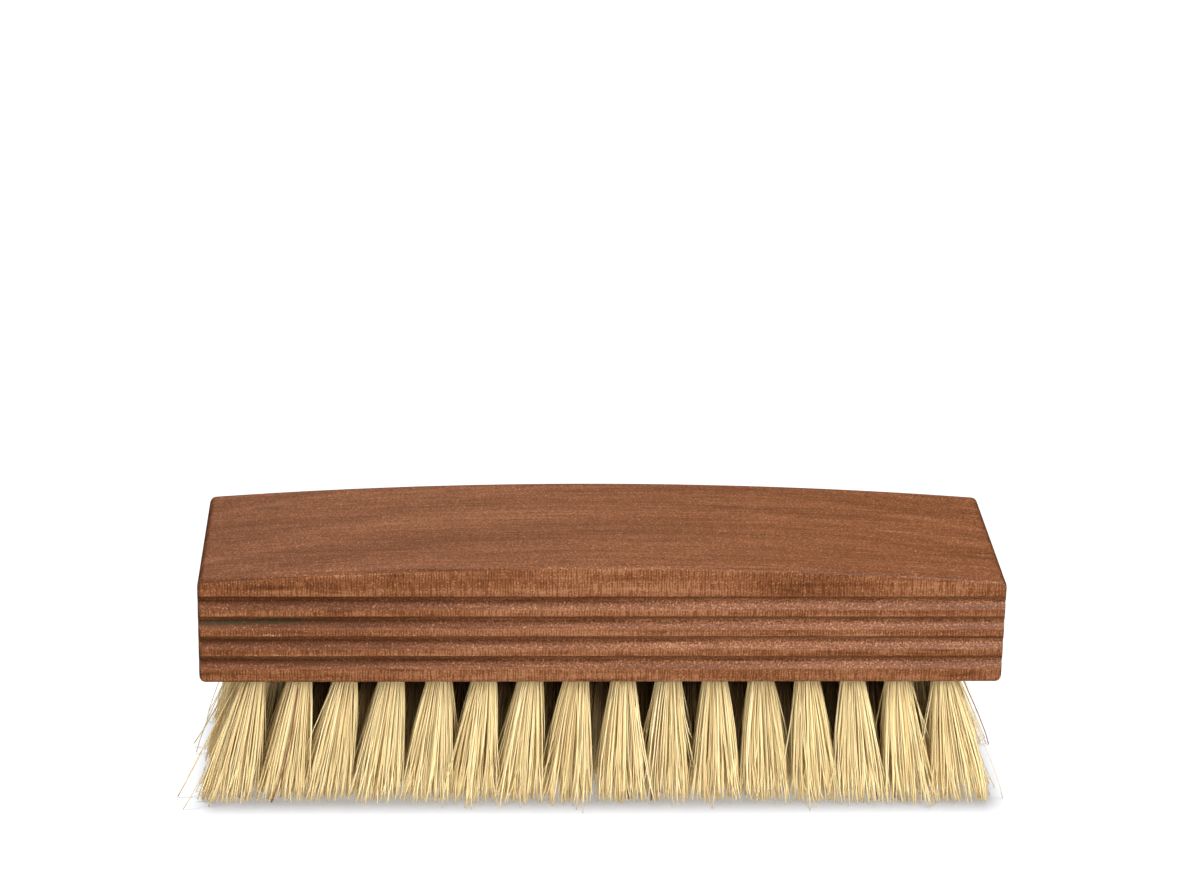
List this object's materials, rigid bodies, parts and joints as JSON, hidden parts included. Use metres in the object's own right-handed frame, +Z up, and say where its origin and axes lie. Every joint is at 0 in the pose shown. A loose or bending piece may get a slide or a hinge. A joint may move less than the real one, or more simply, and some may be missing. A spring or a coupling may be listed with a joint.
{
  "type": "shoe polishing brush",
  "caption": "Hand brush for polishing shoes: an arched wooden back with finger grooves along both long sides and staggered rows of splayed fibre tufts set in blind holes.",
  "frame": {"origin": "centre of the footprint, on the surface that the bristle tips stand on", "axes": "+X along the brush's length, +Y across it away from the side that faces the viewer, +Z up from the bristle tips to the wooden back"},
  "size_m": [0.17, 0.0468, 0.0545],
  "materials": {
    "wood": "matte",
    "bristle": "satin",
    "anchor": "satin"
  },
  "bodies": {
    "root": {"row_1_tuft_01": "bristle", "row_1_tuft_02": "bristle", "row_1_tuft_03": "bristle", "row_1_tuft_04": "bristle", "row_1_tuft_05": "bristle", "row_1_tuft_06": "bristle", "row_1_tuft_07": "bristle", "row_1_tuft_08": "bristle", "row_1_tuft_09": "bristle", "row_1_tuft_10": "bristle", "row_1_tuft_11": "bristle", "row_1_tuft_12": "bristle", "row_1_tuft_13": "bristle", "row_1_tuft_14": "bristle", "row_1_tuft_15": "bristle", "row_1_tuft_16": "bristle", "row_2_tufts": "bristle", "row_3_tuft_01": "bristle", "row_3_tuft_02": "bristle", "row_3_tuft_03": "bristle", "row_3_tuft_04": "bristle", "row_3_tuft_05": "bristle", "row_3_tuft_06": "bristle", "row_3_tuft_07": "bristle", "row_3_tuft_08": "bristle", "row_3_tuft_09": "bristle", "row_3_tuft_10": "bristle", "row_3_tuft_11": "bristle", "row_3_tuft_12": "bristle", "row_3_tuft_13": "bristle", "row_3_tuft_14": "bristle", "row_3_tuft_15": "bristle", "row_3_tuft_16": "bristle", "row_4_tufts": "bristle", "row_5_tuft_01": "bristle", "row_5_tuft_02": "bristle", "row_5_tuft_03": "bristle", "row_5_tuft_04": "bristle", "row_5_tuft_05": "bristle", "row_5_tuft_06": "bristle", "row_5_tuft_07": "bristle", "row_5_tuft_08": "bristle", "row_5_tuft_09": "bristle", "row_5_tuft_10": "bristle", "row_5_tuft_11": "bristle", "row_5_tuft_12": "bristle", "row_5_tuft_13": "bristle", "row_5_tuft_14": "bristle", "row_5_tuft_15": "bristle", "row_5_tuft_16": "bristle", "wooden_back": "wood"}
  },
  "joints": []
}
